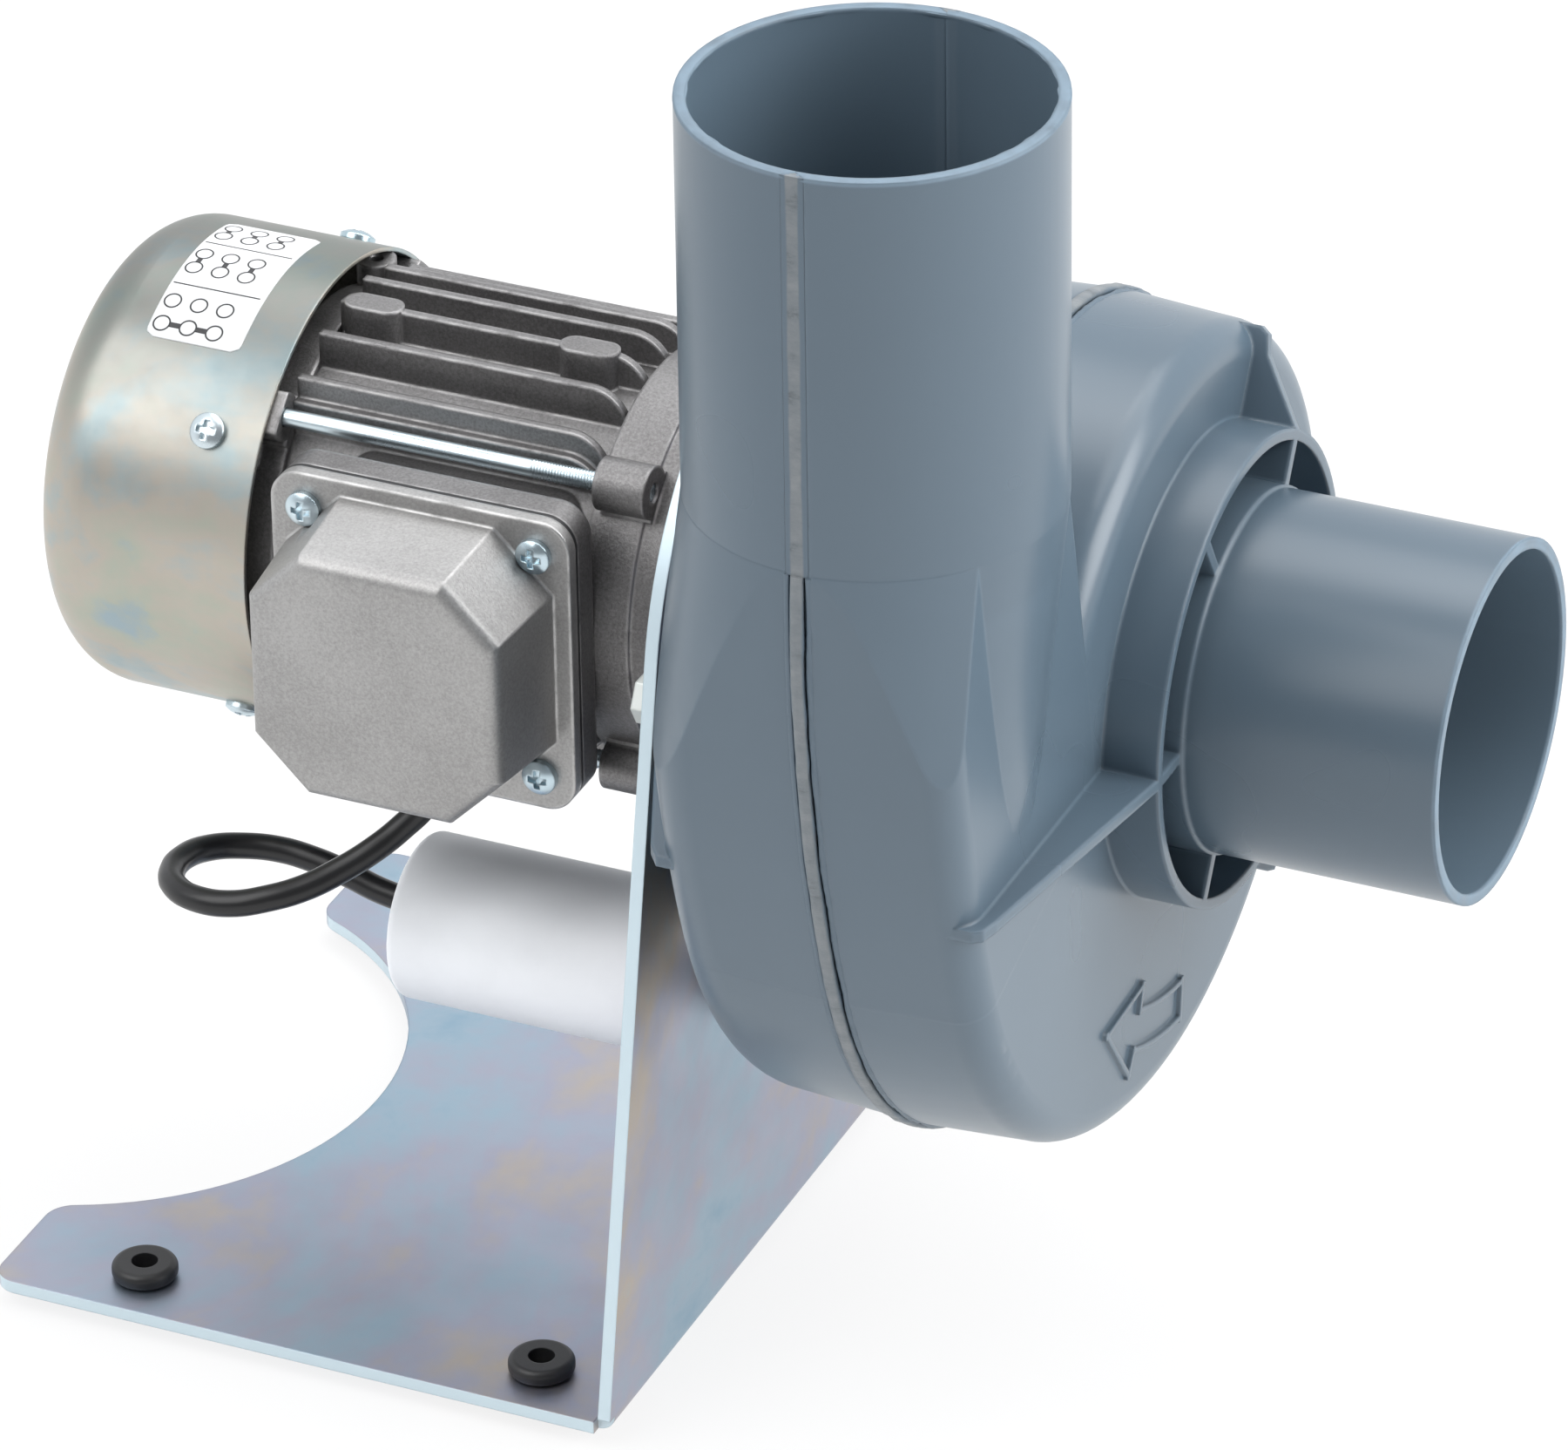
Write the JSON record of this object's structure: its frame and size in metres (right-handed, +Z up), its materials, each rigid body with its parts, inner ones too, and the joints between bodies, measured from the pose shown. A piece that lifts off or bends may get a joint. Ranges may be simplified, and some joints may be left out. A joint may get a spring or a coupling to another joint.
{
  "type": "centrifugal fan",
  "caption": "Centrifugal duct fan: plastic scroll casing with round inlet and outlet spigots, on a bent steel bracket with a fin-cooled motor, terminal box and run capacitor.",
  "frame": {"origin": "On the floor under the rubber grommets, at the centre of the four foot holes.", "axes": "+X runs along the shaft, from the motor towards the inlet. +Z is up, the way the outlet blows. +Y is the side away from the outlet and the terminal box."},
  "size_m": [0.3264, 0.2368, 0.3436],
  "materials": {
    "zinc_sheet": "bright zinc plating with a pale blue to yellow tint",
    "black_rubber": "matt",
    "casing_plastic": "blue-grey polypropylene, satin",
    "weld_plastic": "dull welding rod",
    "zinc_bolts": "dull zinc plating",
    "zinc_screws": "bright blue zinc plating",
    "cast_alloy": "bare sand-textured casting",
    "lid_alloy": "bare die casting, finely grained",
    "cowl_sheet": "zinc plated, tinted yellow-green",
    "laminations": "dull",
    "copper_wire": "enamelled copper",
    "bearing_steel": "ground",
    "terminal_plastic": "matt",
    "brass": "plain",
    "can_plastic": "white-grey, satin",
    "aluminium_stud": "plain",
    "cable_jacket": "satin black",
    "shaft_steel": "turned",
    "fan_plastic": "moulded",
    "impeller_plastic": "moulded blue-grey"
  },
  "bodies": {
    "frame": {"base_bracket": "zinc_sheet", "foot_grommets": "black_rubber", "casing_front_shell": "casing_plastic", "casing_rear_shell": "casing_plastic", "weld_bead": "weld_plastic", "casing_bolts": "zinc_bolts", "motor_mounting_screws": "zinc_screws", "motor_housing": "cast_alloy", "drive_end_shield": "cast_alloy", "rear_end_shield": "cast_alloy", "tie_rods": "zinc_screws", "fan_cowl": "cowl_sheet", "cowl_screws": "zinc_screws", "stator_core": "laminations", "stator_windings": "copper_wire", "front_bearing_outer_ring": "bearing_steel", "rear_bearing_outer_ring": "bearing_steel", "bearing_wave_washer": "bearing_steel", "terminal_box_gasket": "black_rubber", "terminal_box_lid": "lid_alloy", "terminal_lid_screws": "zinc_screws", "terminal_block": "terminal_plastic", "terminal_studs": "brass", "cable_grommet": "black_rubber", "capacitor_can": "can_plastic", "capacitor_stud": "aluminium_stud", "capacitor_washer": "zinc_screws", "capacitor_nut": "zinc_bolts", "capacitor_lead": "cable_jacket", "front_bearing_balls": "bearing_steel", "rear_bearing_balls": "bearing_steel"},
    "rotor": {"motor_shaft": "shaft_steel", "rotor_core": "laminations", "rotor_end_rings": "aluminium_stud", "front_bearing_inner_ring": "bearing_steel", "rear_bearing_inner_ring": "bearing_steel", "cooling_fan": "fan_plastic", "cooling_fan_clip": "bearing_steel", "impeller": "impeller_plastic", "impeller_washer": "zinc_screws", "impeller_screw": "zinc_screws"}
  },
  "joints": [
    {"name": "rotor_spin", "type": "hinge", "parent": "frame", "child": "rotor", "pos_m": [0, 0, 0.169], "axis": [1, 0, 0], "continuous": true}
  ]
}
